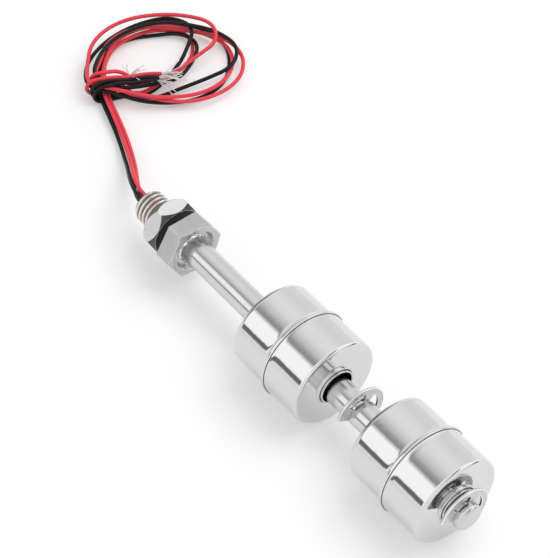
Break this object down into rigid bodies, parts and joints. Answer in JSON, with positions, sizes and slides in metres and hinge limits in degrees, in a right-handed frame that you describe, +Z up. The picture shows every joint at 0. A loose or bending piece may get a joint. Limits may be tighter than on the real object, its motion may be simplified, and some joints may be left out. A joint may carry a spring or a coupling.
{
  "type": "float level switch",
  "caption": "Stem-mounted liquid level switch: polished floats slide on a steel stem between snap clips, with a hexagon fitting, lock nut, rubber gasket and loose lead wires.",
  "frame": {"origin": "on the table, under the middle of the metal part's box, without the loose wires", "axes": "+X along the stem towards its free tip, -X towards the threaded stud, +Z up from the table"},
  "size_m": [0.2139, 0.0815, 0.028],
  "materials": {
    "polished_steel": "mirror-polished stainless sheet of the floats",
    "stem_steel": "smooth drawn stainless tube",
    "satin_steel": "satin turned stainless",
    "nut_steel": "bright turned stainless",
    "clip_steel": "stamped spring steel",
    "black_rubber": "matt black rubber",
    "ferrite": "dark pressed ferrite",
    "capsule_glass": "clear glass with a green tint",
    "reed_metal": "plated nickel-iron",
    "sleeve_plastic": "milky shrink sleeve",
    "sealing_compound": "cast black resin",
    "red_insulation": "smooth soft red plastic",
    "black_insulation": "smooth soft black plastic",
    "coiled_wire": "red and black insulation together",
    "tinned_strands": "bright tinned copper strands"
  },
  "bodies": {
    "stem_assembly": {"mounting_body": "satin_steel", "stem_tube": "stem_steel", "stem_end_cap": "stem_steel", "stem_weld_bead": "polished_steel", "sealing_gasket": "black_rubber", "retaining_clip_top": "clip_steel", "retaining_clip_middle": "clip_steel", "retaining_clip_end": "clip_steel", "potting_plug": "sealing_compound", "wire_coil": "coiled_wire", "stripped_ends": "tinned_strands", "upper_reed_glass": "capsule_glass", "upper_reed_blade_near": "reed_metal", "upper_reed_blade_far": "reed_metal", "upper_reed_sleeve": "sleeve_plastic", "inner_wire_red_upper": "red_insulation", "inner_wire_black_upper": "black_insulation", "lower_reed_glass": "capsule_glass", "lower_reed_blade_near": "reed_metal", "lower_reed_blade_far": "reed_metal", "lower_reed_sleeve": "sleeve_plastic", "inner_wire_red_lower": "red_insulation", "inner_wire_black_lower": "black_insulation", "wire_red_upper": "red_insulation", "wire_red_lower": "red_insulation", "wire_black_upper": "black_insulation", "wire_black_lower": "black_insulation"},
    "lock_nut": {"lock_nut": "nut_steel"},
    "upper_float": {"upper_float_top_cup": "polished_steel", "upper_float_bottom_cup": "polished_steel", "upper_float_core_tube": "polished_steel", "upper_float_magnet": "ferrite"},
    "lower_float": {"lower_float_top_cup": "polished_steel", "lower_float_bottom_cup": "polished_steel", "lower_float_core_tube": "polished_steel", "lower_float_magnet": "ferrite"}
  },
  "joints": [
    {"name": "upper_float_slide", "type": "slide", "parent": "stem_assembly", "child": "upper_float", "axis": [1, 0, 0], "range_m": [-0.0007, 0.0085]},
    {"name": "lower_float_slide", "type": "slide", "parent": "stem_assembly", "child": "lower_float", "axis": [1, 0, 0], "range_m": [-0.0087, 0.0011]},
    {"name": "lock_nut_slide", "type": "slide", "parent": "stem_assembly", "child": "lock_nut", "axis": [-1, 0, 0], "range_m": [0, 0.0084]}
  ]
}
